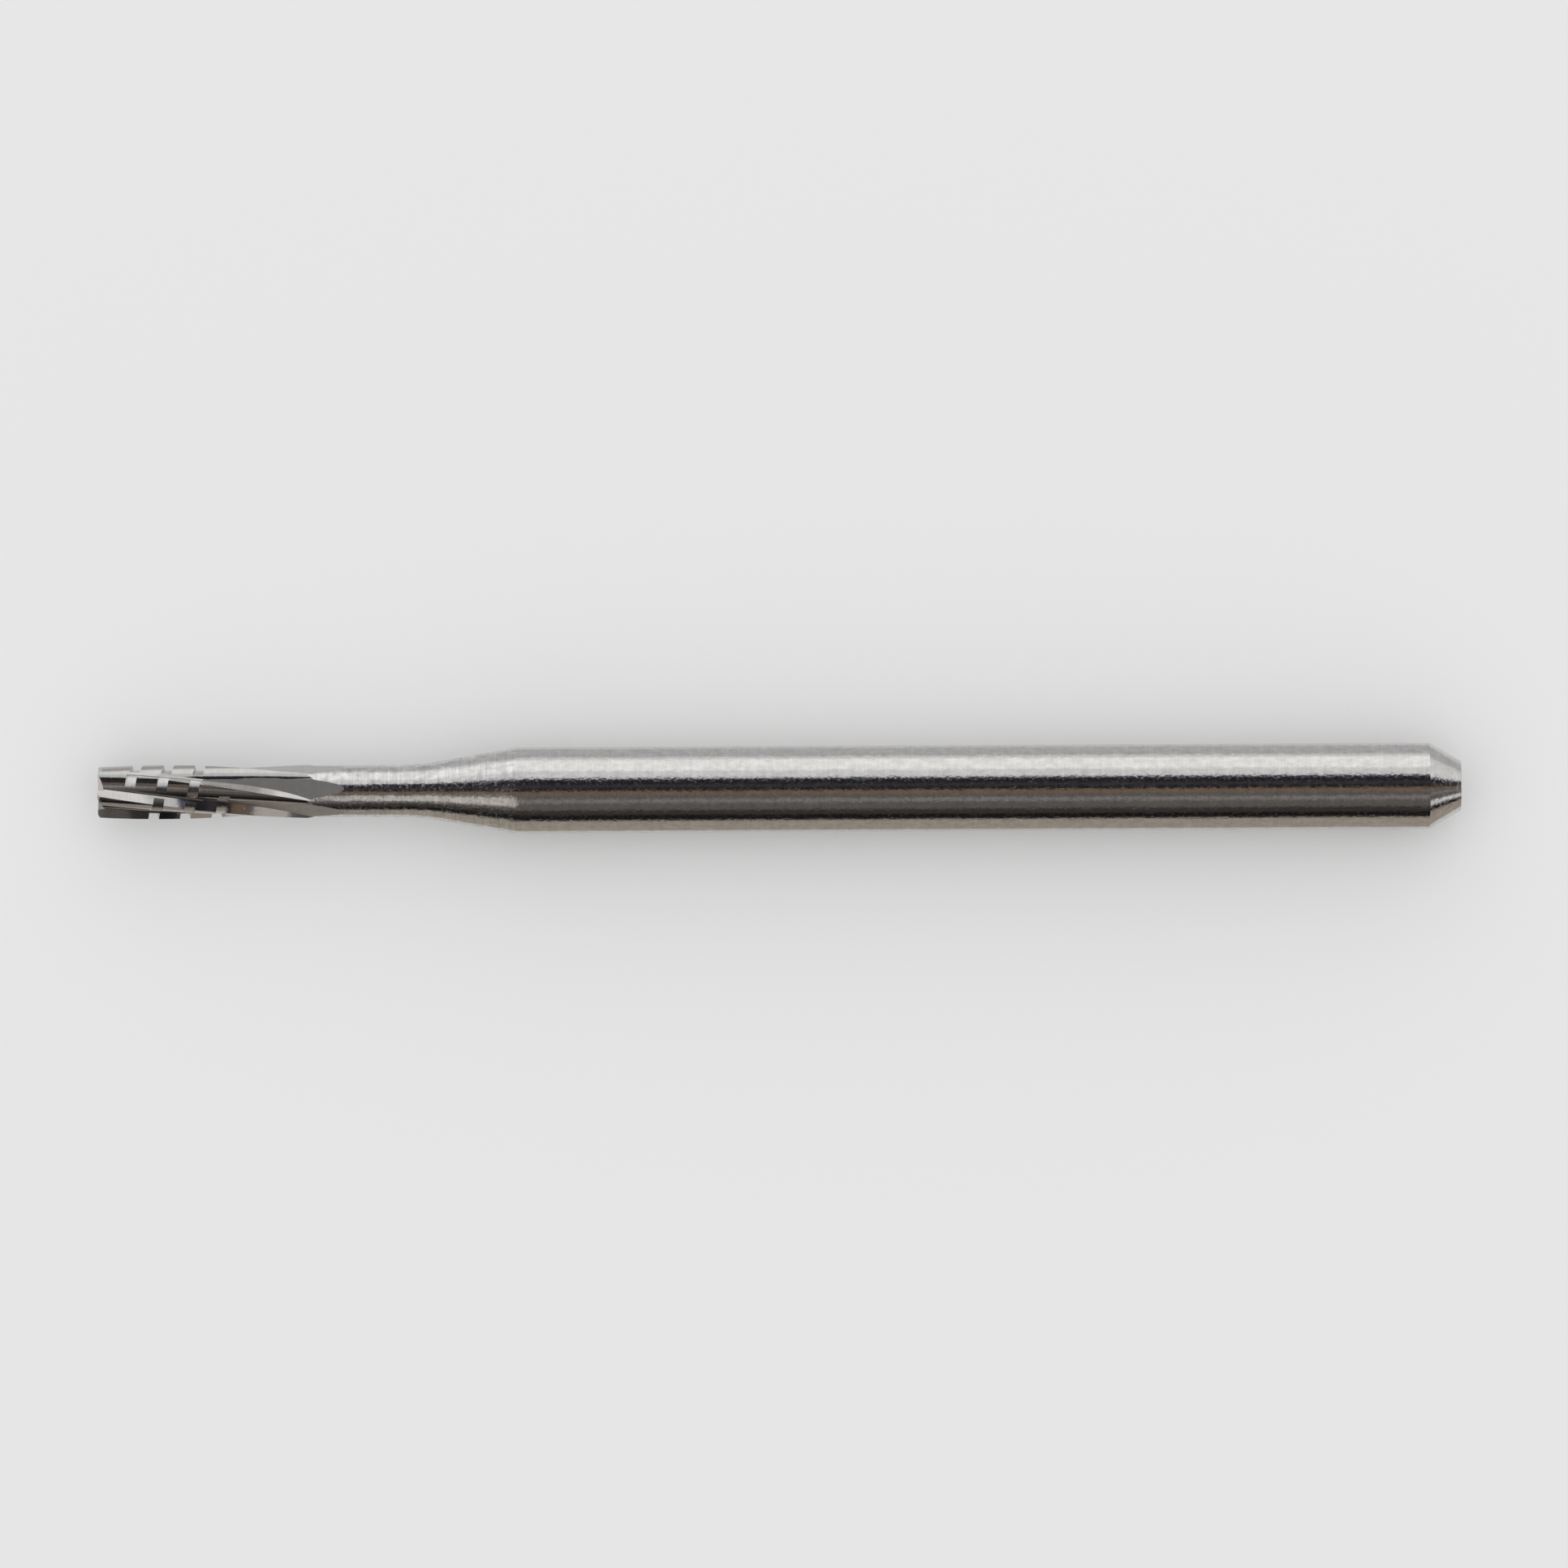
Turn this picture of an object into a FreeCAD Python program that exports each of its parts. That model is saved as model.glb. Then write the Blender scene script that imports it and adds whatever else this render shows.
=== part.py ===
import FreeCAD, Part
import math
import os

# Cross-cut fissure bur with a plain 1.6 mm shank, turned and ground from one rod.
# The axis is X: the shank's end is at the origin and the head points to -X. Every station below is
# counted from the tip, and the finished bur is moved to the origin last. Angles round the axis are
# counted from +Y towards +Z. Sizes are in mm and degrees.

# Shank, flare and neck
SHANK_DIAMETER = 1.60
OVERALL_LENGTH = 25.30
END_CHAMFER_LENGTH = 0.59
END_CHAMFER_ANGLE = 30.0
FLARE_START = 5.97
FLARE_LENGTH = 1.79
FLARE_BLEND_RADIUS = 4.0
SHOULDER_BLEND_RADIUS = 1.2
NECK_DIAMETER = 0.95
NECK_ROOT_DIAMETER = 0.97

# Head
HEAD_DIAMETER = 1.00
HEAD_LENGTH = 4.02
HEAD_SHOULDER_LENGTH = 0.14
TIP_BEVEL = 0.045

# Flutes: right-hand helix, cutting clockwise seen from the shank
BLADE_COUNT = 6
TWIST_PER_MM = 18.25
BLADE_PHASE = 38.2
LAND_WIDTH = 0.012
RELIEF_ANGLE = 15.0
TOOTH_BACK_RADIUS = 0.32
RAKE_ANGLE = -38.0
FLUTE_ROOT_RADIUS = 0.05

# Run-outs: the roots rise from LIFT_START to above the neck, and a flat ground from
# RUNOUT_START, which takes a little more off the rake face, ends on the neck
LIFT_START = 1.87
LIFT_MARGIN = 0.006
RUNOUT_START = 1.95
RUNOUT_OVERCUT = 0.4
RUNOUT_END = 4.53
RUNOUT_SLOPE = 3.6
RUNOUT_LEAD = 32.7
RUNOUT_MARGIN = 15.0

# Gashes across the end face, one ahead of each end blade
GASH_DEPTH = 0.17
GASH_CENTRE_DEPTH = 0.03
GASH_CENTRE_RADIUS = 0.05
GASH_LEAD = 14.0
GASH_SPREAD = 40.0

# Cross-cut: one left-hand thread groove that breaks the blades into teeth. Its phase alone is
# counted from -Z, where the helix starts once it is laid along the axis
CROSSCUT_PITCH = 0.60
CROSSCUT_WIDTH = 0.20
CROSSCUT_DEPTH = 0.10
CROSSCUT_START = 0.59
CROSSCUT_PHASE = 170.0
CROSSCUT_TURNS = 2.94

# How far a cutting tool runs past the metal it cuts, and a radius well outside the head
TOOL_CLEARANCE = 0.30
OUTSIDE_RADIUS = 2 * HEAD_DIAMETER

HEAD_RADIUS = HEAD_DIAMETER / 2
NECK_RADIUS = NECK_DIAMETER / 2
BLADE_STEP = 360.0 / BLADE_COUNT
X_AXIS = FreeCAD.Vector(1, 0, 0)
ORIGIN = FreeCAD.Vector(0, 0, 0)


def polar(radius, degrees, x=0.0):
    """A point at a radius and an angle round the axis."""
    angle = math.radians(degrees)
    return FreeCAD.Vector(x, radius * math.cos(angle), radius * math.sin(angle))


def line(start, end):
    return Part.LineSegment(start, end).toShape()


def blend(start, corner, end, radius):
    """The tangent arc that rounds a corner of a profile, with its two tangent points."""
    back = (start - corner).normalize()
    ahead = (end - corner).normalize()
    half = back.getAngle(ahead) / 2
    reach = radius / math.tan(half)
    first = corner + back * reach
    last = corner + ahead * reach
    inward = (back + ahead).normalize()
    middle = corner + inward * (radius / math.sin(half) - radius)
    return first, Part.Arc(first, middle, last).toShape(), last


def turned_blank():
    """The bur before its flutes are ground: tip, head, neck, flare, shank and chamfered end."""
    shank_radius = SHANK_DIAMETER / 2
    end_radius = shank_radius - END_CHAMFER_LENGTH * math.tan(math.radians(END_CHAMFER_ANGLE))
    corners = {
        "centre": FreeCAD.Vector(0, 0, 0),
        "tip": FreeCAD.Vector(0, HEAD_RADIUS - TIP_BEVEL, 0),
        "bevel": FreeCAD.Vector(TIP_BEVEL, HEAD_RADIUS, 0),
        "head": FreeCAD.Vector(HEAD_LENGTH - HEAD_SHOULDER_LENGTH, HEAD_RADIUS, 0),
        "neck": FreeCAD.Vector(HEAD_LENGTH, NECK_RADIUS, 0),
        "flare": FreeCAD.Vector(FLARE_START, NECK_ROOT_DIAMETER / 2, 0),
        "shoulder": FreeCAD.Vector(FLARE_START + FLARE_LENGTH, shank_radius, 0),
        "chamfer": FreeCAD.Vector(OVERALL_LENGTH - END_CHAMFER_LENGTH, shank_radius, 0),
        "end": FreeCAD.Vector(OVERALL_LENGTH, end_radius, 0),
        "end_centre": FreeCAD.Vector(OVERALL_LENGTH, 0, 0),
    }
    flare_in, flare_arc, flare_out = blend(
        corners["neck"], corners["flare"], corners["shoulder"], FLARE_BLEND_RADIUS)
    shank_in, shank_arc, shank_out = blend(
        corners["flare"], corners["shoulder"], corners["chamfer"], SHOULDER_BLEND_RADIUS)
    outline = Part.Wire([
        line(corners["centre"], corners["tip"]),
        line(corners["tip"], corners["bevel"]),
        line(corners["bevel"], corners["head"]),
        line(corners["head"], corners["neck"]),
        line(corners["neck"], flare_in),
        flare_arc,
        line(flare_out, shank_in),
        shank_arc,
        line(shank_out, corners["chamfer"]),
        line(corners["chamfer"], corners["end"]),
        line(corners["end"], corners["end_centre"]),
        line(corners["end_centre"], corners["centre"]),
    ])
    return Part.Face(outline).revolve(ORIGIN, X_AXIS, 360)


class FluteSection:
    """The points of one flute's section, its leading blade's edge at angle 0: the rounded back of
    that blade, the root fillet, and the rake face of the next blade."""

    def __init__(self):
        land = math.degrees(LAND_WIDTH / HEAD_RADIUS)
        back_centre = polar(HEAD_RADIUS, land) - polar(TOOTH_BACK_RADIUS, land + RELIEF_ANGLE)
        next_edge = polar(HEAD_RADIUS, BLADE_STEP)
        inward = polar(1, BLADE_STEP - 180 - RAKE_ANGLE)
        facing = FreeCAD.Vector(0, -inward.z, inward.y)
        offset = next_edge + facing * FLUTE_ROOT_RADIUS - back_centre
        along = offset.dot(inward)
        reach = TOOTH_BACK_RADIUS + FLUTE_ROOT_RADIUS
        travel = -along - math.sqrt(along ** 2 - offset.dot(offset) + reach ** 2)
        root_centre = back_centre + offset + inward * travel
        outward = (root_centre - back_centre).normalize()
        top = polar(1, 0)
        self.back_top = back_centre + top * TOOTH_BACK_RADIUS
        self.back_middle = back_centre + (outward + top).normalize() * TOOTH_BACK_RADIUS
        self.back_foot = back_centre + outward * TOOTH_BACK_RADIUS
        self.root_middle = root_centre - (outward + facing).normalize() * FLUTE_ROOT_RADIUS
        self.rake_foot = root_centre - facing * FLUTE_ROOT_RADIUS
        self.rake_top = next_edge - inward * TOOL_CLEARANCE
        self.rake_deep = self.rake_foot + inward * TOOL_CLEARANCE / 2
        self.root_radius = root_centre.Length - FLUTE_ROOT_RADIUS


def flute_outline(section):
    """The whole flute, closed outside the head."""
    return Part.Wire([
        Part.Arc(section.back_top, section.back_middle, section.back_foot).toShape(),
        Part.Arc(section.back_foot, section.root_middle, section.rake_foot).toShape(),
        line(section.rake_foot, section.rake_top),
        line(section.rake_top, polar(OUTSIDE_RADIUS, BLADE_STEP)),
        line(polar(OUTSIDE_RADIUS, BLADE_STEP), polar(OUTSIDE_RADIUS, 0)),
        line(polar(OUTSIDE_RADIUS, 0), section.back_top),
    ])


def runout_outline(section):
    """The space ahead of the next blade's rake face, with room behind for the flat."""
    return Part.makePolygon([
        section.rake_deep,
        section.rake_top,
        polar(OUTSIDE_RADIUS, BLADE_STEP),
        polar(OUTSIDE_RADIUS, -RUNOUT_MARGIN),
        polar(HEAD_RADIUS / 2, -RUNOUT_MARGIN),
        section.rake_deep,
    ])


def twisted(outline, start, end):
    """An outline at the tip's plane swept from start to end with the right-hand twist of the blades."""
    guide = Part.makeHelix(360.0 / TWIST_PER_MM, end - start, HEAD_RADIUS)
    guide.rotate(ORIGIN, FreeCAD.Vector(0, 1, 0), 90)
    spine = Part.Wire([line(ORIGIN, FreeCAD.Vector(end - start, 0, 0))])
    sweep = Part.BRepOffsetAPI.MakePipeShell(spine)
    sweep.setAuxiliarySpine(Part.Wire(guide.Edges), True, 0)
    sweep.add(outline)
    sweep.build()
    sweep.makeSolid()
    solid = sweep.shape()
    solid.translate(FreeCAD.Vector(start, 0, 0))
    solid.rotate(ORIGIN, X_AXIS, BLADE_PHASE + TWIST_PER_MM * start)
    return solid


def lifting_core(section):
    """The cone that the flute roots climb where the grinding wheel lifts out."""
    low = section.root_radius - LIFT_MARGIN
    high = NECK_RADIUS + LIFT_MARGIN
    slope = (high - low) / (HEAD_LENGTH - LIFT_START)
    length = HEAD_LENGTH + 2 * TOOL_CLEARANCE - LIFT_START
    start = FreeCAD.Vector(LIFT_START, 0, 0)
    return Part.makeCone(low, low + slope * length, length, start, X_AXIS)


def runout_flat():
    """The space beyond the flat of one run-out, which meets the neck's surface at RUNOUT_END."""
    length = RUNOUT_END + 2 * TOOL_CLEARANCE
    width = OUTSIDE_RADIUS
    flat = Part.makeBox(length, width, width, FreeCAD.Vector(-length, 0, -width / 2))
    flat.translate(FreeCAD.Vector(TOOL_CLEARANCE, 0, 0))
    flat.rotate(ORIGIN, FreeCAD.Vector(0, 0, 1), RUNOUT_SLOPE)
    flat.translate(FreeCAD.Vector(RUNOUT_END, NECK_RADIUS, 0))
    flat.rotate(ORIGIN, X_AXIS, BLADE_PHASE + TWIST_PER_MM * HEAD_LENGTH + RUNOUT_LEAD)
    return flat


def flute_tools():
    """What the wheel grinds away for one flute: the helical flute, and the flat of its run-out."""
    section = FluteSection()
    flute = twisted(flute_outline(section), -TOOL_CLEARANCE, HEAD_LENGTH + TOOL_CLEARANCE)
    flute = flute.cut(lifting_core(section))
    runout = twisted(runout_outline(section), RUNOUT_START, RUNOUT_END + TOOL_CLEARANCE)
    runout.rotate(ORIGIN, X_AXIS, RUNOUT_OVERCUT)
    return flute, runout.common(runout_flat())


def gash_outline(radius, depth):
    """The gash at one radius: upright in front of the end blade, and rising to the face behind."""
    edge = BLADE_PHASE - GASH_LEAD
    back = edge - GASH_SPREAD
    return Part.makePolygon([
        polar(radius, edge, depth),
        polar(radius, edge, -TOOL_CLEARANCE),
        polar(radius, back, -TOOL_CLEARANCE),
        polar(radius, back, 0),
        polar(radius, edge, depth),
    ])


def end_gash():
    """One gash in the end face, deeper towards the rim."""
    deepening = (GASH_DEPTH - GASH_CENTRE_DEPTH) / (HEAD_RADIUS - GASH_CENTRE_RADIUS)
    inner = gash_outline(GASH_CENTRE_RADIUS, GASH_CENTRE_DEPTH)
    outer = gash_outline(HEAD_RADIUS + TOOL_CLEARANCE, GASH_DEPTH + deepening * TOOL_CLEARANCE)
    return Part.makeLoft([inner, outer], True, True)


def crosscut_groove():
    """The square thread groove, a left-hand helix round the head."""
    height = CROSSCUT_PITCH * CROSSCUT_TURNS
    floor_radius = HEAD_RADIUS - CROSSCUT_DEPTH
    path = Part.makeHelix(CROSSCUT_PITCH, height, floor_radius, 0, True)
    low = -CROSSCUT_WIDTH / 2
    outside = HEAD_RADIUS + TOOL_CLEARANCE
    section = Part.makePolygon([
        FreeCAD.Vector(floor_radius, 0, low),
        FreeCAD.Vector(outside, 0, low),
        FreeCAD.Vector(outside, 0, -low),
        FreeCAD.Vector(floor_radius, 0, -low),
        FreeCAD.Vector(floor_radius, 0, low),
    ])
    groove = Part.Wire(path.Edges).makePipeShell([section], True, True)
    groove.rotate(ORIGIN, FreeCAD.Vector(0, 1, 0), 90)
    groove.translate(FreeCAD.Vector(CROSSCUT_START, 0, 0))
    groove.rotate(ORIGIN, X_AXIS, CROSSCUT_PHASE)
    return groove


def around(tool):
    """The tool copied once for each blade."""
    copies = []
    for index in range(BLADE_COUNT):
        copy = tool.copy()
        copy.rotate(ORIGIN, X_AXIS, index * BLADE_STEP)
        copies.append(copy)
    return copies


def bur():
    flute, runout = flute_tools()
    body = turned_blank().cut(crosscut_groove())
    for tool in around(flute) + around(runout) + around(end_gash()):
        body = body.cut(tool)
    body.translate(FreeCAD.Vector(-OVERALL_LENGTH, 0, 0))
    return body


def main():
    os.makedirs("parts", exist_ok=True)
    body = bur()
    solids = body.Solids
    if len(solids) != 1 or not body.isValid():
        raise RuntimeError("the bur is not one valid solid: %d" % len(solids))
    solids[0].exportStep("parts/bur.step")
    print("bur", round(solids[0].Volume, 4), "mm3,", len(solids[0].Faces), "faces")


main()
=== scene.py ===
"""Cross-cut fissure bur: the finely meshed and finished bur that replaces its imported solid, and
its studio.

The bur lies along X with the end of its shank at the origin and its head at -X. Stations along it
are counted from the tip, and angles round it from +Y towards +Z, so 90 degrees faces the camera.
"""

import math

import bpy
from bpy.props import FloatProperty, FloatVectorProperty, IntProperty, PointerProperty
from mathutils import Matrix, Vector


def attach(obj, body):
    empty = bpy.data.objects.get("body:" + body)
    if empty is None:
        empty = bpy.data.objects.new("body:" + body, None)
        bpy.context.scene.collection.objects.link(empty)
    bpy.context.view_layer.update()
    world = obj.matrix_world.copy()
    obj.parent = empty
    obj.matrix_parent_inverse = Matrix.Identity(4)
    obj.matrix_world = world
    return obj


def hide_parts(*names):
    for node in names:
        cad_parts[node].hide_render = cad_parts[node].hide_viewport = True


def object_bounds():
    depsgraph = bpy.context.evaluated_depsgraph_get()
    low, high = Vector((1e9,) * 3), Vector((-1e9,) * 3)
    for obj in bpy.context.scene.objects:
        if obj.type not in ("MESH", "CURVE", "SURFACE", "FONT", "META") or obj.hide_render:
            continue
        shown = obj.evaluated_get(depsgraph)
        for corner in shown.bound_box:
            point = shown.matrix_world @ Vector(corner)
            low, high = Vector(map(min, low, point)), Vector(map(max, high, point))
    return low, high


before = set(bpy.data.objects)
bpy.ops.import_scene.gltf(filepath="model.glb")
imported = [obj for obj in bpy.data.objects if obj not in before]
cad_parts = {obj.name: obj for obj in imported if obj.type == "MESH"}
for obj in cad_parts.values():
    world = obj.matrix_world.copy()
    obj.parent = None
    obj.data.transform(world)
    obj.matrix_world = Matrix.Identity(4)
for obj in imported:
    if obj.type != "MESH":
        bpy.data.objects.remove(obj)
cad_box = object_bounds()

bl_info = {
    "name": "Fissure bur",
    "version": (1, 0, 0),
    "blender": (4, 5, 0),
    "location": "View3D > Sidebar > Bur",
    "description": "Models a cross-cut fissure bur and its studio",
    "category": "Object",
}

NODE = "bur"

MM = 0.001
MICRON = 1e-6

# The bur is modelled a thousand times its size, one unit to the millimetre, because the edit
# operators merge what lies closer than a tenth of a millimetre, and is scaled back at the end.
WORK_SCALE = 1.0 / MM

# In working units: how close two vertices are merged, and how far the back of an end gash stays
# off the end face.
MERGE_DISTANCE = 0.00005
SKIM = 0.002

# Facets along each rounding of the turned profile, from the neck to the rim of the end face.
FLARE_FACETS = 10
SHOULDER_FACETS = 6
CHAMFER_FACETS = 4
RIM_FACETS = 6

# Where the photograph shows the bur, in its own pixels.
PHOTO_WIDTH = 1932
PHOTO_TIP_X = 121.0
PHOTO_END_X = 1800.0
PHOTO_AXIS_Y = 972.2

OVERALL_LENGTH = cad_box[1].x - cad_box[0].x

# The shank lies on the floor, which is the shank's radius below the axis.
FLOOR_Z = -cad_box[1].y


def length(name, description, millimetres):
    return FloatProperty(name=name, description=description, default=millimetres * MM,
                         unit="LENGTH", precision=5)


def angle(name, description, degrees):
    return FloatProperty(name=name, description=description, default=math.radians(degrees),
                         unit="ROTATION")


def colour(name, description, value):
    return FloatVectorProperty(name=name, description=description, default=value,
                               subtype="COLOR", size=3, min=0.0, max=1.0)


class BurSizes(bpy.types.PropertyGroup):
    """The sizes that the bur is turned and ground to."""

    shank_diameter: length("Shank diameter", "Diameter of the plain shank", 1.60)
    overall_length: length("Overall length", "From the tip to the end of the shank",
                           OVERALL_LENGTH / MM)
    end_chamfer_length: length("End chamfer length", "Length of the cone at the shank's end", 0.59)
    end_chamfer_angle: angle("End chamfer angle", "Slope of the cone at the shank's end", 30.0)
    edge_break: length("Edge break", "Rounding of the shank's two end edges", 0.02)
    flare_start: length("Flare start", "Station where the neck begins to widen", 5.97)
    flare_length: length("Flare length", "Length of the cone between neck and shank", 1.79)
    flare_blend: length("Flare blend", "Radius between neck and flare", 4.0)
    shoulder_blend: length("Shoulder blend", "Radius between flare and shank", 1.2)
    neck_diameter: length("Neck diameter", "Diameter of the neck behind the head", 0.95)
    neck_root_diameter: length("Neck root diameter", "Diameter of the neck at the flare", 0.97)
    head_diameter: length("Head diameter", "Diameter over the cutting edges", 1.00)
    head_length: length("Head length", "Length of the fluted head", 4.02)
    head_shoulder_length: length("Head shoulder", "Length of the step down to the neck", 0.14)
    tip_bevel: length("Tip bevel", "Bevel round the end face", 0.045)
    blade_count: IntProperty(name="Blades", description="Number of blades", default=6, min=2)
    twist: angle("Twist", "How far the blades turn in each millimetre", 18.25)
    blade_phase: angle("Blade phase", "Where the first blade meets the end face", 38.2)
    land_width: length("Land width", "Width of the land behind each cutting edge", 0.012)
    relief_angle: angle("Relief angle", "Slope of the tooth's back behind the land", 15.0)
    tooth_back: length("Tooth back", "Radius of the rounded back of a tooth", 0.32)
    rake_angle: angle("Rake angle", "Slope of the rake face from the radius", -38.0)
    flute_root: length("Flute root", "Fillet between tooth back and rake face", 0.05)
    lift_start: length("Lift start", "Station where the flutes begin to run out", 1.87)
    lift_margin: length("Lift margin", "How far the lifted root clears the neck", 0.006)
    runout_start: length("Run-out start", "Station where the run-out flats begin", 1.95)
    runout_overcut: angle("Run-out overcut", "What the flat takes off the rake face", 0.4)
    runout_end: length("Run-out end", "Station where the flats meet the neck", 4.53)
    runout_slope: angle("Run-out slope", "Slope of the flats to the axis", 3.6)
    runout_lead: angle("Run-out lead", "How far the flats face ahead of the blades", 32.7)
    runout_margin: angle("Run-out margin", "Room behind the flat for the wheel", 15.0)
    gash_depth: length("Gash depth", "Depth of the end gashes at the rim", 0.17)
    gash_centre_depth: length("Gash centre depth", "Their depth near the axis", 0.03)
    gash_centre_radius: length("Gash centre radius", "How near the axis they come", 0.05)
    gash_lead: angle("Gash lead", "How far an end blade lags its cutting edge", 14.0)
    gash_spread: angle("Gash spread", "How far a gash opens round the end face", 40.0)
    crosscut_pitch: length("Cross-cut pitch", "Pitch of the thread that crosses the blades", 0.60)
    crosscut_width: length("Cross-cut width", "Width of its groove", 0.20)
    crosscut_depth: length("Cross-cut depth", "Depth of its groove", 0.10)
    crosscut_start: length("Cross-cut start", "Station where the groove begins", 0.59)
    crosscut_phase: angle("Cross-cut phase", "Where the groove begins round the head", 80.0)
    crosscut_turns: FloatProperty(name="Cross-cut turns", description="Turns of the thread",
                                  default=2.94)
    tool_clearance: length("Tool clearance", "How far a cutter runs past the metal", 0.30)
    segments: IntProperty(name="Segments", description="Facets round the turned body",
                          default=192, min=24)


class StageLook(bpy.types.PropertyGroup):
    """The floor, the light and the cards that the metal reflects."""

    floor_colour: colour("Floor", "Colour of the pale floor", (0.90, 0.90, 0.90))
    dome_strength: FloatProperty(name="Dome", description="Strength of the light from all round",
                                 default=0.86, min=0.0)
    softbox_radiance: FloatProperty(name="Softbox", description="Radiance of the softbox",
                                    default=0.29, min=0.0)
    navy_edge: colour("Navy edge", "Edge of the black card", (0.035, 0.040, 0.10))
    black_card: colour("Black card", "Card over the bur and towards the softbox",
                       (0.020, 0.020, 0.024))
    dim_card: colour("Dim card", "Paler strip in the black card", (0.050, 0.048, 0.052))
    brown_edge: colour("Brown edge", "Warm strip between the black card and the grey one",
                       (0.21, 0.15, 0.11))
    grey_card: colour("Grey card", "Card over the bur, away from the softbox",
                      (0.135, 0.125, 0.120))
    pale_strip: colour("Pale strip", "Strip in the grey card, over the shank", (0.25, 0.235, 0.225))
    bright_strip: colour("Bright strip", "Strips that the neck and the flare reflect",
                         (0.66, 0.62, 0.59))
    low_card: colour("Low card", "Dark card under the grey one", (0.052, 0.045, 0.042))
    night_card: colour("Night card", "Darkest card, at the height of the bur, and the far floor",
                       (0.012, 0.011, 0.012))
    beige_floor: colour("Beige floor", "What the bur's underside reflects", (0.40, 0.36, 0.31))
    grey_floor: colour("Grey floor", "What the bur's side by the softbox reflects",
                       (0.55, 0.55, 0.56))


class Plan:
    """The bur's sizes as plain numbers: lengths in working units, angles in radians."""

    def __init__(self, sizes):
        for key, prop in sizes.bl_rna.properties.items():
            if prop.type in {"FLOAT", "INT"}:
                scale = WORK_SCALE if prop.unit == "LENGTH" else 1
                setattr(self, key, getattr(sizes, key) * scale)
        self.shank_radius = self.shank_diameter / 2
        self.neck_radius = self.neck_diameter / 2
        self.neck_root_radius = self.neck_root_diameter / 2
        self.head_radius = self.head_diameter / 2
        self.blade_step = math.tau / self.blade_count
        # A cutter's section reaches this far out, well clear of the head.
        self.outside_radius = 2 * self.head_diameter


def polar(radius, angle_round, x=0.0):
    """A point at a radius and an angle round the axis."""
    return Vector((x, radius * math.cos(angle_round), radius * math.sin(angle_round)))


# Working in edit mode


def deselect_everything():
    if bpy.context.mode != "OBJECT":
        bpy.ops.object.mode_set(mode="OBJECT")
    bpy.ops.object.select_all(action="DESELECT")


def turn_selection(angle_round):
    """Turns what is selected round the axis, from +Y towards +Z."""
    bpy.ops.transform.rotate(value=-angle_round, orient_axis="X", center_override=(0, 0, 0))


def begin_outline(name, place):
    """A new object in edit mode, with one selected vertex at a place."""
    deselect_everything()
    bpy.ops.mesh.primitive_plane_add(size=1, enter_editmode=True, location=(0, 0, 0))
    bpy.ops.mesh.merge(type="CENTER")
    bpy.ops.transform.translate(value=place)
    bpy.context.object.name = name
    return bpy.context.object


def line_on(start, *places):
    """Draws straight edges on from the selected vertex at start."""
    for place in places:
        bpy.ops.mesh.extrude_vertices_move(TRANSFORM_OT_translate={"value": place - start})
        start = place


def arc_on(start, centre, end, steps):
    """Draws an arc on from the selected vertex at start, in the plane across the axis."""
    first, last = start - centre, end - centre
    swing = math.atan2(first.y * last.z - first.z * last.y, first.y * last.y + first.z * last.z)
    bpy.ops.mesh.spin(steps=steps, angle=-swing, center=centre, axis=(1, 0, 0))


def close_outline():
    bpy.ops.mesh.select_all(action="SELECT")
    bpy.ops.mesh.edge_face_add()


def wind_on(steps, advance, turn):
    """Extrudes the selected face along the axis while it turns."""
    for _ in range(steps):
        bpy.ops.mesh.extrude_region_move(
            TRANSFORM_OT_translate={"value": (advance / steps, 0, 0)})
        turn_selection(turn / steps)


def finish_editing():
    bpy.ops.mesh.select_all(action="SELECT")
    bpy.ops.mesh.normals_make_consistent(inside=False)
    bpy.ops.object.mode_set(mode="OBJECT")


def move_mesh(shape, advance, turn):
    """Moves a shape's whole mesh along the axis and turns it."""
    deselect_everything()
    bpy.context.view_layer.objects.active = shape
    shape.select_set(True)
    bpy.ops.object.mode_set(mode="EDIT")
    bpy.ops.mesh.select_all(action="SELECT")
    bpy.ops.transform.translate(value=(advance, 0, 0))
    turn_selection(turn)
    bpy.ops.object.mode_set(mode="OBJECT")


def close_slivers(shape):
    """Merges the vertices that a cut left all but on each other, so that the next cut is sound."""
    bpy.ops.object.mode_set(mode="EDIT")
    bpy.ops.mesh.select_all(action="SELECT")
    bpy.ops.mesh.remove_doubles(threshold=MERGE_DISTANCE)
    bpy.ops.mesh.dissolve_degenerate(threshold=MERGE_DISTANCE)
    bpy.ops.object.mode_set(mode="OBJECT")


def cut_out(target, tool):
    """Cuts a tool out of the target and throws the tool away."""
    deselect_everything()
    bpy.context.view_layer.objects.active = target
    target.select_set(True)
    cut = target.modifiers.new("cut", "BOOLEAN")
    cut.operation = "DIFFERENCE"
    cut.solver = "EXACT"
    cut.material_mode = "TRANSFER"
    cut.object = tool
    bpy.ops.object.modifier_apply(modifier=cut.name)
    bpy.data.objects.remove(tool)
    close_slivers(target)


def cut_all_round(target, tool, plan):
    """Cuts the tool out of the target once for each blade."""
    for index in range(plan.blade_count):
        copy = tool.copy()
        copy.data = tool.data.copy()
        bpy.context.scene.collection.objects.link(copy)
        move_mesh(copy, 0, index * plan.blade_step)
        cut_out(target, copy)
    bpy.data.objects.remove(tool)


def bur_object():
    if "bur_blank" not in bpy.data.objects:
        raise RuntimeError("turn the blank first")
    return bpy.data.objects["bur_blank"]


# Metal


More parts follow.
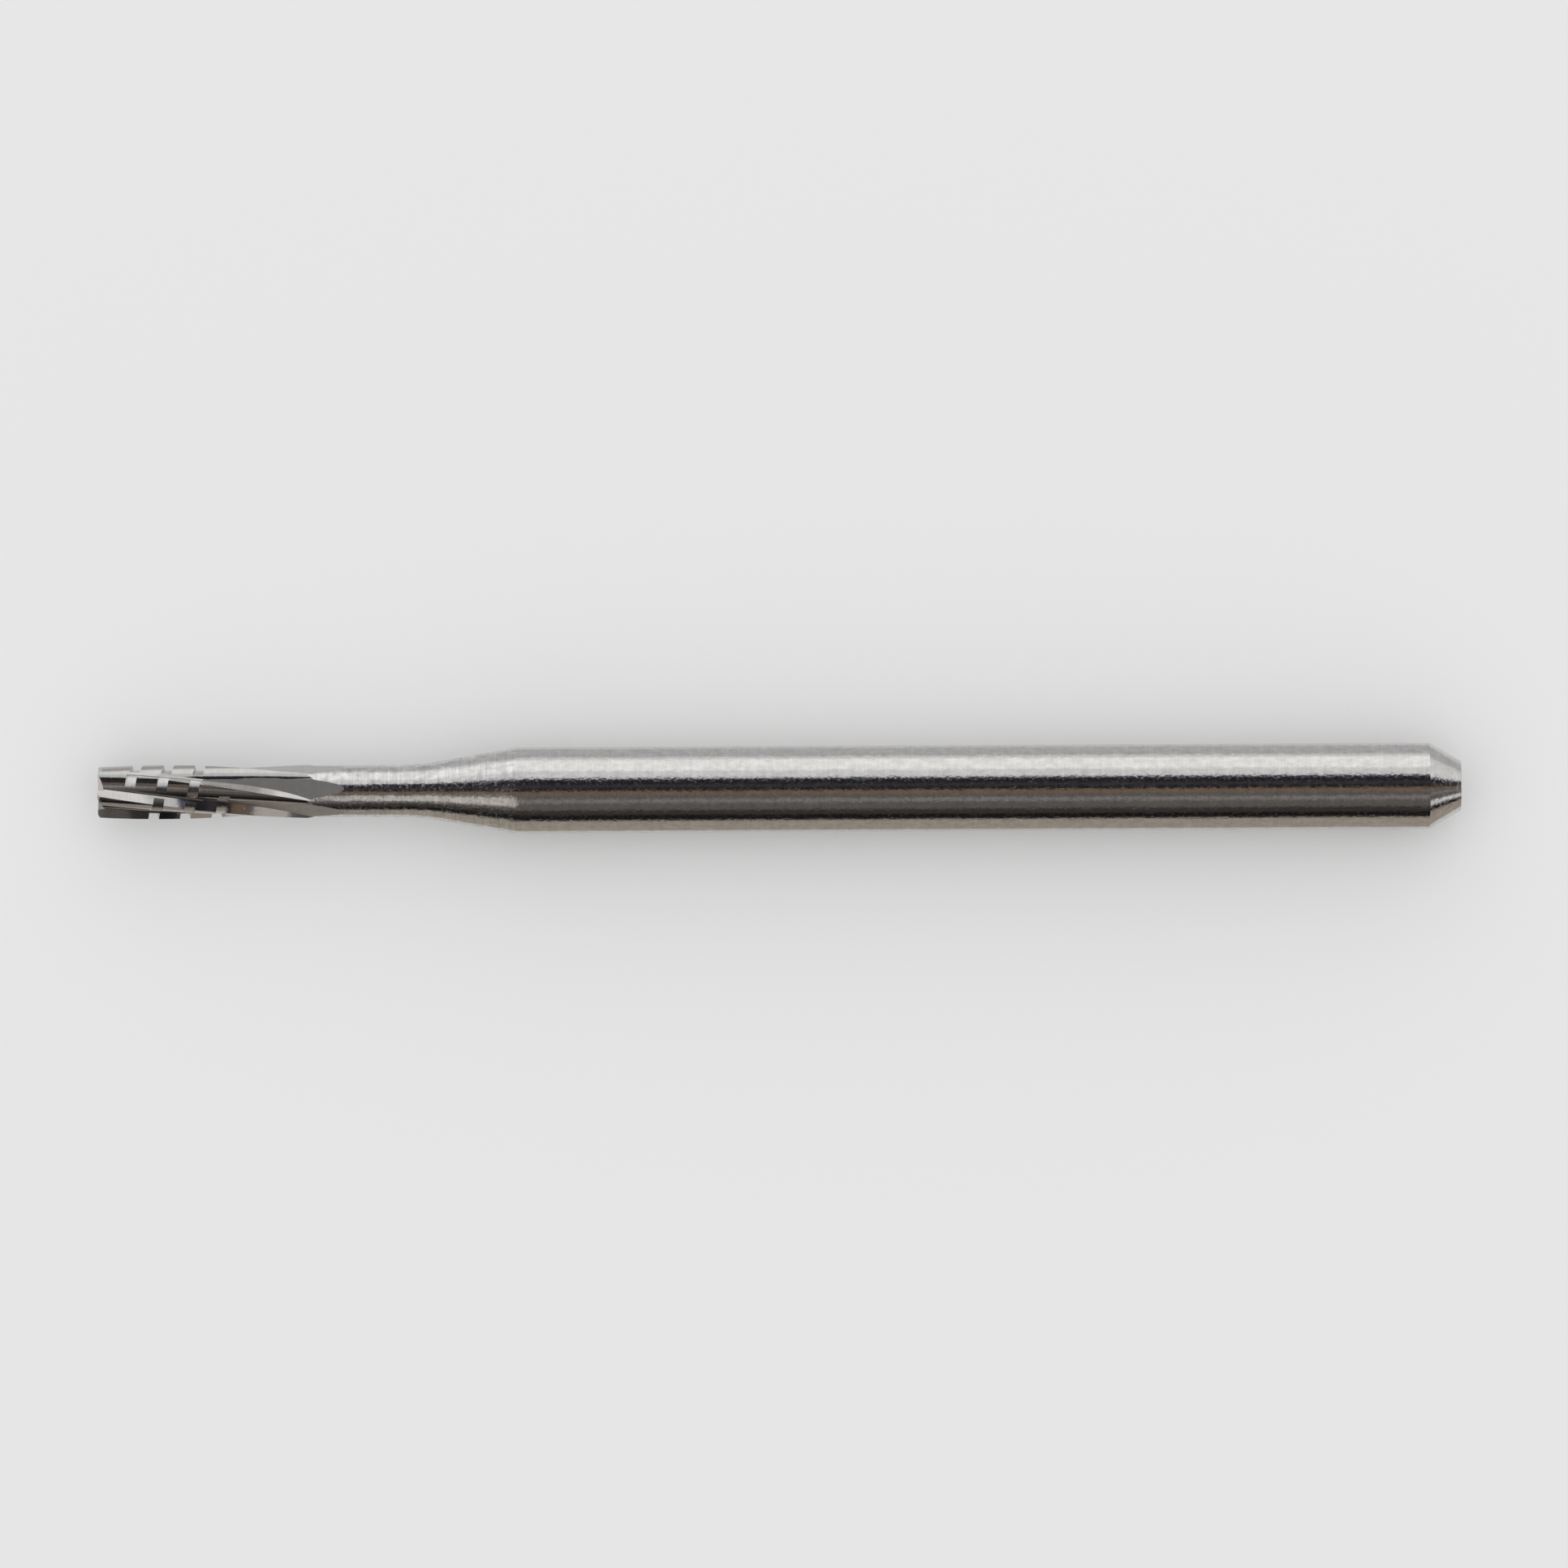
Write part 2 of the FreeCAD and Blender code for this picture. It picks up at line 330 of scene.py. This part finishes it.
# How fine each noise in the metal is, along the axis and across it, in cells per metre.
MARK_SCALE = (26.0 / MM, 1.5 / MM, 1.5 / MM)
GRAIN_SCALE = (17.0 / MM, 23.0 / MM, 23.0 / MM)
PATCH_SCALE = (6.0 / MM, 9.0 / MM, 9.0 / MM)
MARK_DETAIL = 2.0
GRAIN_DETAIL = 2.0
PATCH_DETAIL = 3.0

# The spans of a noise that a finish uses: most of it, or only its upper half.
NOISE_BODY = (0.3, 0.7)
NOISE_PEAKS = (0.45, 0.75)


def linked(tree, node_type, inputs):
    """A new node with its inputs set to values or linked to other sockets."""
    node = tree.nodes.new(node_type)
    for key, value in inputs.items():
        if isinstance(value, bpy.types.NodeSocket):
            tree.links.new(value, node.inputs[key])
        else:
            node.inputs[key].default_value = value
    return node


def noise_along(tree, coordinates, scale, detail):
    """Noise on object coordinates, scaled apart along and across the axis."""
    mapping = linked(tree, "ShaderNodeMapping", {"Vector": coordinates, "Scale": scale})
    noise = linked(tree, "ShaderNodeTexNoise", {
        "Vector": mapping.outputs["Vector"], "Scale": 1.0, "Detail": detail})
    return noise.outputs["Fac"]


def spread(tree, value, span, low, high):
    """A span of a value, spread over low to high."""
    node = linked(tree, "ShaderNodeMapRange", {
        "Value": value, "From Min": span[0], "From Max": span[1], "To Min": low, "To Max": high})
    return node.outputs["Result"]


def multiplied(tree, first, second):
    node = linked(tree, "ShaderNodeMath", {0: first, 1: second})
    node.operation = "MULTIPLY"
    return node.outputs["Value"]


def ground_metal(name, tint, roughness, grain_depth, sparkle, streak, mottle):
    """Ground metal: a fine grain that scatters reflections, and marks round the axis.

    grain_depth is in metres, sparkle is how much rougher the grain's peaks are, and streak and
    mottle are how much paler or darker a mark and a patch are.
    """
    material = bpy.data.materials.new(name)
    material.use_nodes = True
    tree = material.node_tree
    shader = tree.nodes["Principled BSDF"]
    place = tree.nodes.new("ShaderNodeTexCoord").outputs["Object"]
    marks = noise_along(tree, place, MARK_SCALE, MARK_DETAIL)
    grain = noise_along(tree, place, GRAIN_SCALE, GRAIN_DETAIL)
    patches = noise_along(tree, place, PATCH_SCALE, PATCH_DETAIL)
    rough = spread(tree, grain, NOISE_PEAKS, roughness, roughness + sparkle)
    mottled = spread(tree, patches, NOISE_BODY, 1.0 - mottle, 1.0 + mottle)
    streaked = spread(tree, marks, NOISE_BODY, 1.0 - streak, 1.0 + streak)
    shade = multiplied(tree, mottled, streaked)
    tinted = linked(tree, "ShaderNodeVectorMath", {0: tint})
    tinted.operation = "SCALE"
    tree.links.new(shade, tinted.inputs["Scale"])
    bump = linked(tree, "ShaderNodeBump", {
        "Distance": grain_depth, "Strength": 1.0, "Height": grain})
    shader.inputs["Metallic"].default_value = 1.0
    tree.links.new(tinted.outputs["Vector"], shader.inputs["Base Color"])
    tree.links.new(rough, shader.inputs["Roughness"])
    tree.links.new(bump.outputs["Normal"], shader.inputs["Normal"])
    return material


def turned_steel():
    return ground_metal("turned_steel", tint=(0.62, 0.605, 0.59), roughness=0.10,
                        grain_depth=2.4 * MICRON, sparkle=0.16, streak=0.04, mottle=0.10)


def turned_neck():
    return ground_metal("turned_neck", tint=(0.62, 0.61, 0.60), roughness=0.13,
                        grain_depth=2.2 * MICRON, sparkle=0.25, streak=0.12, mottle=0.16)


def ground_flute():
    return ground_metal("ground_flute", tint=(0.52, 0.505, 0.49), roughness=0.12,
                        grain_depth=0.5 * MICRON, sparkle=0.05, streak=0.03, mottle=0.05)


def ground_flat():
    return ground_metal("ground_flat", tint=(0.58, 0.575, 0.57), roughness=0.46,
                        grain_depth=0.8 * MICRON, sparkle=0.05, streak=0.03, mottle=0.04)


def cut_thread():
    return ground_metal("cut_thread", tint=(0.56, 0.555, 0.55), roughness=0.22,
                        grain_depth=1.0 * MICRON, sparkle=0.10, streak=0.04, mottle=0.08)


def give_metals(shape, *makes):
    """Gives a shape the metals that functions make, each made once for the whole file."""
    shape.data.materials.clear()
    for make in makes:
        shape.data.materials.append(bpy.data.materials.get(make.__name__) or make())


# Operators


def blend_stations(before, corner, after, radius, steps):
    """The stations of the tangent arc that rounds a corner of the turned profile."""
    back = (before - corner).normalized()
    ahead = (after - corner).normalized()
    half = back.angle(ahead) / 2
    first = corner + back * (radius / math.tan(half))
    centre = corner + (back + ahead).normalized() * (radius / math.sin(half))
    spoke = first - centre
    swing = math.pi - 2 * half
    side = math.copysign(1.0, spoke.x * ahead.y - spoke.y * ahead.x)
    stations = []
    for step in range(steps + 1):
        turned = side * swing * step / steps
        stations.append(centre + Vector((
            spoke.x * math.cos(turned) - spoke.y * math.sin(turned),
            spoke.x * math.sin(turned) + spoke.y * math.cos(turned))))
    return stations


def profile_stations(plan):
    """The turned profile as points of station and radius, from the tip to the shank's end."""
    end_radius = (plan.shank_radius
                  - plan.end_chamfer_length * math.tan(plan.end_chamfer_angle))
    neck = Vector((plan.head_length, plan.neck_radius))
    flare = Vector((plan.flare_start, plan.neck_root_radius))
    shoulder = Vector((plan.flare_start + plan.flare_length, plan.shank_radius))
    chamfer = Vector((plan.overall_length - plan.end_chamfer_length, plan.shank_radius))
    end = Vector((plan.overall_length, end_radius))
    end_centre = Vector((plan.overall_length, 0.0))
    return [
        Vector((0.0, plan.head_radius - plan.tip_bevel)),
        Vector((plan.tip_bevel, plan.head_radius)),
        Vector((plan.head_length - plan.head_shoulder_length, plan.head_radius)),
        neck,
        *blend_stations(neck, flare, shoulder, plan.flare_blend, FLARE_FACETS),
        *blend_stations(flare, shoulder, chamfer, plan.shoulder_blend, SHOULDER_FACETS),
        *blend_stations(shoulder, chamfer, end, plan.edge_break, CHAMFER_FACETS),
        *blend_stations(chamfer, end, end_centre, plan.edge_break, RIM_FACETS),
    ]


class BUR_OT_turn_blank(bpy.types.Operator):
    """Turns the bur's blank: tip, head, neck, flare, shank and chamfered end"""

    bl_idname = "bur.turn_blank"
    bl_label = "Turn the blank"

    def execute(self, context):
        plan = Plan(context.scene.bur_sizes)
        stations = profile_stations(plan)
        deselect_everything()
        bpy.ops.mesh.primitive_circle_add(
            vertices=plan.segments, radius=stations[0].y, fill_type="NGON",
            location=(stations[0].x, 0, 0), rotation=(0, math.pi / 2, 0))
        blank = context.object
        blank.name = "bur_blank"
        bpy.ops.object.transform_apply(location=True, rotation=True, scale=True)
        bpy.ops.object.mode_set(mode="EDIT")
        bpy.ops.mesh.select_all(action="SELECT")
        for last, station in zip(stations, stations[1:]):
            bpy.ops.mesh.extrude_region_move(
                TRANSFORM_OT_translate={"value": (station.x - last.x, 0, 0)})
            ratio = station.y / last.y
            bpy.ops.transform.resize(value=(1, ratio, ratio), center_override=(station.x, 0, 0))
        finish_editing()
        give_metals(blank, turned_steel)
        return {"FINISHED"}


class BUR_OT_cut_thread(bpy.types.Operator):
    """Cuts the left-hand thread groove that breaks the blades into teeth"""

    bl_idname = "bur.cut_thread"
    bl_label = "Cut the cross-cut thread"

    steps_per_turn: IntProperty(name="Steps", description="Steps in a turn", default=64)

    def execute(self, context):
        plan = Plan(context.scene.bur_sizes)
        floor_radius = plan.head_radius - plan.crosscut_depth
        half = plan.crosscut_width / 2
        start, phase = plan.crosscut_start, plan.crosscut_phase
        outside = plan.head_radius + plan.tool_clearance
        corners = [polar(floor_radius, phase, start - half), polar(outside, phase, start - half),
                   polar(outside, phase, start + half), polar(floor_radius, phase, start + half)]
        groove = begin_outline("thread_cutter", corners[0])
        line_on(*corners)
        close_outline()
        wind_on(round(self.steps_per_turn * plan.crosscut_turns),
                plan.crosscut_pitch * plan.crosscut_turns, -math.tau * plan.crosscut_turns)
        finish_editing()
        give_metals(groove, cut_thread)
        cut_out(bur_object(), groove)
        return {"FINISHED"}


class FluteSection:
    """One flute's section with its leading blade's edge at angle 0: the rounded back of that
    blade, the root fillet, and the rake face of the next blade."""

    def __init__(self, plan):
        land = plan.land_width / plan.head_radius
        self.back_centre = (polar(plan.head_radius, land)
                            - polar(plan.tooth_back, land + plan.relief_angle))
        next_edge = polar(plan.head_radius, plan.blade_step)
        inward = polar(1, plan.blade_step - math.pi - plan.rake_angle)
        facing = Vector((0, -inward.z, inward.y))
        offset = next_edge + facing * plan.flute_root - self.back_centre
        along = offset.dot(inward)
        reach = plan.tooth_back + plan.flute_root
        travel = -along - math.sqrt(along ** 2 - offset.dot(offset) + reach ** 2)
        self.root_centre = self.back_centre + offset + inward * travel
        outward = (self.root_centre - self.back_centre).normalized()
        self.back_top = self.back_centre + polar(plan.tooth_back, 0)
        self.back_foot = self.back_centre + outward * plan.tooth_back
        self.rake_foot = self.root_centre - facing * plan.flute_root
        self.rake_top = next_edge - inward * plan.tool_clearance
        self.rake_deep = self.rake_foot + inward * plan.tool_clearance / 2
        self.root_radius = self.root_centre.length - plan.flute_root


class BUR_OT_grind_flutes(bpy.types.Operator):
    """Grinds the helical flutes, which climb a cone where the wheel lifts out"""

    bl_idname = "bur.grind_flutes"
    bl_label = "Grind the flutes"

    steps: IntProperty(name="Steps", description="Steps along the head", default=72)
    back_steps: IntProperty(name="Back steps", description="Facets of a tooth's back", default=18)
    root_steps: IntProperty(name="Root steps", description="Facets of the root", default=14)

    def execute(self, context):
        plan = Plan(context.scene.bur_sizes)
        section = FluteSection(plan)
        flute = begin_outline("flute_cutter", section.rake_top)
        line_on(section.rake_top, section.rake_foot)
        arc_on(section.rake_foot, section.root_centre, section.back_foot, self.root_steps)
        arc_on(section.back_foot, section.back_centre, section.back_top, self.back_steps)
        line_on(section.back_top, polar(plan.outside_radius, 0),
                polar(plan.outside_radius, plan.blade_step))
        close_outline()
        run = plan.head_length + 2 * plan.tool_clearance
        wind_on(self.steps, run, run * plan.twist)
        finish_editing()
        start = -plan.tool_clearance
        move_mesh(flute, start, plan.blade_phase + start * plan.twist)
        give_metals(flute, ground_flute)
        cut_out(flute, self.lifting_core(plan, section))
        cut_all_round(bur_object(), flute, plan)
        return {"FINISHED"}

    def lifting_core(self, plan, section):
        """The cone that the flute roots climb."""
        low = section.root_radius - plan.lift_margin
        high = plan.neck_radius + plan.lift_margin
        slope = (high - low) / (plan.head_length - plan.lift_start)
        depth = plan.head_length + 2 * plan.tool_clearance - plan.lift_start
        deselect_everything()
        bpy.ops.mesh.primitive_cone_add(
            vertices=plan.segments, radius1=low, radius2=low + slope * depth, depth=depth,
            location=(plan.lift_start + depth / 2, 0, 0), rotation=(0, math.pi / 2, 0))
        core = bpy.context.object
        bpy.ops.object.transform_apply(location=True, rotation=True, scale=True)
        give_metals(core, ground_flute)
        return core


class BUR_OT_grind_runouts(bpy.types.Operator):
    """Grinds the flats in which the flutes run out on the neck"""

    bl_idname = "bur.grind_runouts"
    bl_label = "Grind the run-outs"

    steps: IntProperty(name="Steps", description="Steps along a run-out", default=48)

    def execute(self, context):
        plan = Plan(context.scene.bur_sizes)
        section = FluteSection(plan)
        corners = [section.rake_deep, section.rake_top,
                   polar(plan.outside_radius, plan.blade_step),
                   polar(plan.outside_radius, -plan.runout_margin),
                   polar(plan.head_radius / 2, -plan.runout_margin)]
        runout = begin_outline("runout_cutter", corners[0])
        line_on(*corners)
        close_outline()
        run = plan.runout_end + plan.tool_clearance - plan.runout_start
        wind_on(self.steps, run, run * plan.twist)
        finish_editing()
        move_mesh(runout, plan.runout_start,
                  plan.blade_phase + plan.runout_start * plan.twist + plan.runout_overcut)
        facing = plan.blade_phase + plan.twist * plan.head_length + plan.runout_lead
        bpy.ops.object.mode_set(mode="EDIT")
        bpy.ops.mesh.select_all(action="SELECT")
        bpy.ops.mesh.bisect(
            plane_co=polar(plan.neck_radius, facing, plan.runout_end),
            plane_no=polar(math.cos(plan.runout_slope), facing, -math.sin(plan.runout_slope)),
            use_fill=True, clear_inner=True)
        finish_editing()
        give_metals(runout, ground_flute, ground_flat)
        # The plane that bisect fills has more corners than any other face of the cutter.
        flat = max(runout.data.polygons, key=lambda face: len(face.vertices))
        flat.material_index = runout.data.materials.find("ground_flat")
        cut_all_round(bur_object(), runout, plan)
        return {"FINISHED"}


class BUR_OT_gash_end(bpy.types.Operator):
    """Grinds a gash across the end face ahead of each end blade"""

    bl_idname = "bur.gash_end"
    bl_label = "Gash the end face"

    def execute(self, context):
        plan = Plan(context.scene.bur_sizes)
        deepening = ((plan.gash_depth - plan.gash_centre_depth)
                     / (plan.head_radius - plan.gash_centre_radius))
        inner = self.corners(plan, plan.gash_centre_radius, plan.gash_centre_depth)
        outer = self.corners(plan, plan.head_radius + plan.tool_clearance,
                             plan.gash_depth + deepening * plan.tool_clearance)
        gash = begin_outline("gash_cutter", inner[0])
        line_on(*inner)
        close_outline()
        bpy.ops.mesh.extrude_region_move(TRANSFORM_OT_translate={"value": (0, 0, 0)})
        bpy.ops.object.mode_set(mode="OBJECT")
        for vertex in gash.data.vertices:
            if vertex.select:
                nearest = min(range(len(inner)), key=lambda i: (vertex.co - inner[i]).length)
                vertex.co = outer[nearest]
        bpy.ops.object.mode_set(mode="EDIT")
        finish_editing()
        give_metals(gash, ground_flute)
        cut_all_round(bur_object(), gash, plan)
        return {"FINISHED"}

    def corners(self, plan, radius, depth):
        """The corners of the gash's section at a radius, where it is that deep."""
        edge = plan.blade_phase - plan.gash_lead
        back = edge - plan.gash_spread
        clear = -plan.tool_clearance
        return [polar(radius, edge, depth), polar(radius, edge, clear),
                polar(radius, back, clear), polar(radius, back, -SKIM)]


class BUR_OT_finish_bur(bpy.types.Operator):
    """Scales the bur to its size, smooths it, marks its ground edges and puts it in the frame"""

    bl_idname = "bur.finish_bur"
    bl_label = "Finish the bur"

    smooth_angle: FloatProperty(name="Smooth angle", description="Sharpest angle that stays smooth",
                                default=math.radians(9.0), unit="ROTATION")

    def execute(self, context):
        plan = Plan(context.scene.bur_sizes)
        body = bur_object()
        deselect_everything()
        context.view_layer.objects.active = body
        body.select_set(True)
        bpy.ops.object.shade_smooth_by_angle(angle=self.smooth_angle)
        self.mark_tool_edges(body)
        self.keep_flats_flat(body)
        self.give_neck_its_metal(body, plan)
        bpy.ops.object.mode_set(mode="EDIT")
        bpy.ops.mesh.select_all(action="SELECT")
        bpy.ops.transform.translate(value=(-plan.overall_length, 0, 0))
        bpy.ops.transform.resize(value=(MM, MM, MM), center_override=(0, 0, 0))
        bpy.ops.object.mode_set(mode="OBJECT")
        body.name = "bur_body"
        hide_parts(NODE)
        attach(body, "root")
        return {"FINISHED"}

    def mark_tool_edges(self, body):
        """Marks as sharp each edge between faces that different tools have cut."""
        mesh = body.data
        metals = {}
        for face in mesh.polygons:
            for key in face.edge_keys:
                metals.setdefault(key, set()).add(face.material_index)
        bpy.ops.object.mode_set(mode="EDIT")
        bpy.ops.mesh.select_all(action="DESELECT")
        bpy.ops.mesh.select_mode(type="EDGE")
        bpy.ops.object.mode_set(mode="OBJECT")
        for edge in mesh.edges:
            edge.select = len(metals.get(edge.key, ())) > 1
        bpy.ops.object.mode_set(mode="EDIT")
        bpy.ops.mesh.mark_sharp()
        bpy.ops.mesh.select_mode(type="VERT")
        bpy.ops.object.mode_set(mode="OBJECT")

    def keep_flats_flat(self, body):
        """Shades the run-out flats, the only faces of their metal, as planes."""
        flat = body.data.materials.find("ground_flat")
        for face in body.data.polygons:
            if face.material_index == flat:
                face.use_smooth = False

    def give_neck_its_metal(self, body, plan):
        """Gives the turned faces from the head to the shoulder the coarser finish of the neck."""
        mesh = body.data
        turned = mesh.materials.find("turned_steel")
        mesh.materials.append(turned_neck())
        neck = len(mesh.materials) - 1
        shoulder = plan.flare_start + plan.flare_length
        for face in mesh.polygons:
            if face.material_index == turned and plan.head_length < face.center.x < shoulder:
                face.material_index = neck


# The stage


FLOOR_SIZE = 4.0
FLOOR_ROUGHNESS = 0.8

SOFTBOX_WIDTH = 300 * MM
SOFTBOX_HEIGHT = 96 * MM
SOFTBOX_DISTANCE = 150 * MM
SOFTBOX_RISE = math.radians(20)

# The cards of the large arc: the name, where it begins and ends in degrees from overhead, positive
# away from the softbox, and its colour in StageLook.
ARC_CARDS = (
    ("navy_edge", -31, -27, "navy_edge"),
    ("black_card", -27, -14, "black_card"),
    ("dim_card", -14, -6, "dim_card"),
    ("black_middle", -6, 3, "black_card"),
    ("brown_edge", 3, 14, "brown_edge"),
    ("grey_card", 14, 56, "grey_card"),
    ("night_card", 72, 90, "night_card"),
)
CARD_FACETS = 12

# The arcs of the other cards, in the same degrees.
PALE_ARC = (25, 35)
BRIGHT_ARC = (20, 44)
LOW_ARC = (56, 72)

# The far strips hang just inside the large arc and the neck's own strip close by. The ends are
# places along X.
STRIP_INSET = 2 * MM
NECK_STRIP_RADIUS = 8 * MM
NECK_STRIP_LEFT = -0.0214
NECK_STRIP_RIGHT = -0.0186
FLARE_STRIP_RIGHT = -0.046
LOW_CARD_RIGHT = 0.12

# The floor's cards: how high they lie over it, and how far from the axis the near ones begin and
# the grey and the beige one end.
CARD_LIFT = 0.02 * MM
FLOOR_CARD_NEAR = 1.55 * MM
GREY_FLOOR_FAR = 9 * MM
BEIGE_FLOOR_FAR = 36 * MM


def arc_card(name, arc, radius, left, right, value):
    """A card curved round the bur from left to right that only reflections see. Its arc is in
    degrees from overhead, positive away from the softbox."""
    start, end = (math.pi / 2 + math.radians(degrees) for degrees in arc)
    first = polar(radius, start, left)
    card = begin_outline(name, first)
    arc_on(first, Vector((left, 0, 0)), polar(radius, end, left), CARD_FACETS)
    bpy.ops.mesh.select_all(action="SELECT")
    bpy.ops.mesh.extrude_region_move(TRANSFORM_OT_translate={"value": (right - left, 0, 0)})
    bpy.ops.object.mode_set(mode="OBJECT")
    hide_from_all_but_reflections(card)
    card.data.materials.append(glow(name, value))


def floor_card(name, near, far, width, value):
    """A card just above the floor, from near to far along Y, that only reflections see."""
    deselect_everything()
    bpy.ops.mesh.primitive_plane_add(
        size=1.0, location=(0, (near + far) / 2, FLOOR_Z + CARD_LIFT))
    card = bpy.context.object
    card.name = name
    card.scale = (width, abs(far - near), 1)
    bpy.ops.object.transform_apply(location=True, rotation=True, scale=True)
    hide_from_all_but_reflections(card)
    card.data.materials.append(glow(name, value))


def hide_from_all_but_reflections(card):
    card.visible_camera = False
    card.visible_diffuse = False
    card.visible_shadow = False
    card.visible_transmission = False


def glow(name, value):
    material = bpy.data.materials.new(name)
    material.use_nodes = True
    tree = material.node_tree
    tree.nodes.clear()
    emission = linked(tree, "ShaderNodeEmission", {"Color": (*value, 1.0), "Strength": 1.0})
    output = tree.nodes.new("ShaderNodeOutputMaterial")
    tree.links.new(emission.outputs["Emission"], output.inputs["Surface"])
    return material


class BUR_OT_stage(bpy.types.Operator):
    """Sets the camera, the floor, the light and the cards"""

    bl_idname = "bur.stage"
    bl_label = "Set the stage"

    card_radius: FloatProperty(name="Card radius", default=0.12, unit="LENGTH",
                               description="How far the cards are from the bur")
    card_width: FloatProperty(name="Card width", default=0.70, unit="LENGTH",
                              description="Width of the cards along the bur")
    camera_height: FloatProperty(name="Camera height", default=0.40, unit="LENGTH",
                                 description="Height of the camera over the bur's axis")
    camera_roll: FloatProperty(name="Camera roll", default=math.radians(-0.29), unit="ROTATION",
                               description="Roll of the camera")

    def execute(self, context):
        look = context.scene.stage_look
        self.set_camera(context)
        self.lay_floor(look)
        self.light(context, look)
        self.hang_cards(look)
        return {"FINISHED"}

    def set_camera(self, context):
        """Looks straight down, with the photograph's scale and place of the bur."""
        pixel = OVERALL_LENGTH / (PHOTO_END_X - PHOTO_TIP_X)
        middle = PHOTO_WIDTH / 2
        lens = bpy.data.cameras.new("camera")
        lens.lens = lens.sensor_width * self.camera_height / (pixel * PHOTO_WIDTH)
        camera = bpy.data.objects.new("camera", lens)
        context.scene.collection.objects.link(camera)
        camera.location = (pixel * (middle - PHOTO_END_X), pixel * (PHOTO_AXIS_Y - middle),
                           self.camera_height)
        camera.rotation_euler = (0, 0, self.camera_roll)
        context.scene.camera = camera

    def lay_floor(self, look):
        deselect_everything()
        bpy.ops.mesh.primitive_plane_add(size=FLOOR_SIZE, location=(0, 0, FLOOR_Z))
        floor = bpy.context.object
        floor.name = "floor"
        material = bpy.data.materials.new("pale_floor")
        material.use_nodes = True
        shader = material.node_tree.nodes["Principled BSDF"]
        shader.inputs["Base Color"].default_value = (*look.floor_colour, 1.0)
        shader.inputs["Roughness"].default_value = FLOOR_ROUGHNESS
        shader.inputs["Specular IOR Level"].default_value = 0.0
        floor.data.materials.append(material)

    def light(self, context, look):
        world = bpy.data.worlds.new("dome")
        context.scene.world = world
        world.use_nodes = True
        background = world.node_tree.nodes["Background"]
        background.inputs["Color"].default_value = (1, 1, 1, 1)
        background.inputs["Strength"].default_value = look.dome_strength
        lamp = bpy.data.lights.new("softbox", "AREA")
        lamp.shape = "RECTANGLE"
        lamp.size, lamp.size_y = SOFTBOX_WIDTH, SOFTBOX_HEIGHT
        lamp.energy = look.softbox_radiance * math.pi * SOFTBOX_WIDTH * SOFTBOX_HEIGHT
        softbox = bpy.data.objects.new("softbox", lamp)
        context.scene.collection.objects.link(softbox)
        softbox.location = (-OVERALL_LENGTH / 2, SOFTBOX_DISTANCE * math.cos(SOFTBOX_RISE),
                            SOFTBOX_DISTANCE * math.sin(SOFTBOX_RISE))
        softbox.rotation_euler = (SOFTBOX_RISE - math.pi / 2, 0, 0)
        softbox.visible_camera = False

    def hang_cards(self, look):
        radius, width = self.card_radius, self.card_width
        end = width / 2
        inside = radius - STRIP_INSET
        for name, start, stop, key in ARC_CARDS:
            arc_card(name, (start, stop), radius, -end, end, getattr(look, key))
        arc_card("pale_strip", PALE_ARC, inside, FLARE_STRIP_RIGHT, end, look.pale_strip)
        arc_card("flare_strip", BRIGHT_ARC, inside, -end, FLARE_STRIP_RIGHT, look.bright_strip)
        arc_card("neck_strip", BRIGHT_ARC, NECK_STRIP_RADIUS, NECK_STRIP_LEFT, NECK_STRIP_RIGHT,
                 look.bright_strip)
        arc_card("low_card", LOW_ARC, radius, -end, LOW_CARD_RIGHT, look.low_card)
        floor_card("beige_floor", -FLOOR_CARD_NEAR, -BEIGE_FLOOR_FAR, width, look.beige_floor)
        floor_card("night_floor", -BEIGE_FLOOR_FAR, -radius, width, look.night_card)
        floor_card("grey_floor", FLOOR_CARD_NEAR, GREY_FLOOR_FAR, width, look.grey_floor)


class BUR_PT_panel(bpy.types.Panel):
    """The bur's sizes and the steps that make it"""

    bl_idname = "BUR_PT_panel"
    bl_label = "Fissure bur"
    bl_space_type = "VIEW_3D"
    bl_region_type = "UI"
    bl_category = "Bur"

    def draw(self, context):
        column = self.layout.column(align=True)
        for operator in STEPS:
            column.operator(operator.bl_idname)
        for group in (context.scene.bur_sizes, context.scene.stage_look):
            column = self.layout.column(align=True)
            for key in group.bl_rna.properties.keys():
                if key not in {"rna_type", "name"}:
                    column.prop(group, key)


STEPS = (BUR_OT_stage, BUR_OT_turn_blank, BUR_OT_cut_thread, BUR_OT_gash_end,
         BUR_OT_grind_flutes, BUR_OT_grind_runouts, BUR_OT_finish_bur)
CLASSES = (BurSizes, StageLook, *STEPS, BUR_PT_panel)


def register():
    for item in CLASSES:
        bpy.utils.register_class(item)
    bpy.types.Scene.bur_sizes = PointerProperty(type=BurSizes)
    bpy.types.Scene.stage_look = PointerProperty(type=StageLook)


def unregister():
    del bpy.types.Scene.stage_look
    del bpy.types.Scene.bur_sizes
    for item in reversed(CLASSES):
        bpy.utils.unregister_class(item)


def main():
    register()
    bpy.context.scene.view_settings.view_transform = "Standard"
    for step in STEPS:
        family, name = step.bl_idname.split(".")
        getattr(getattr(bpy.ops, family), name)()


if __name__ == "__main__":
    main()
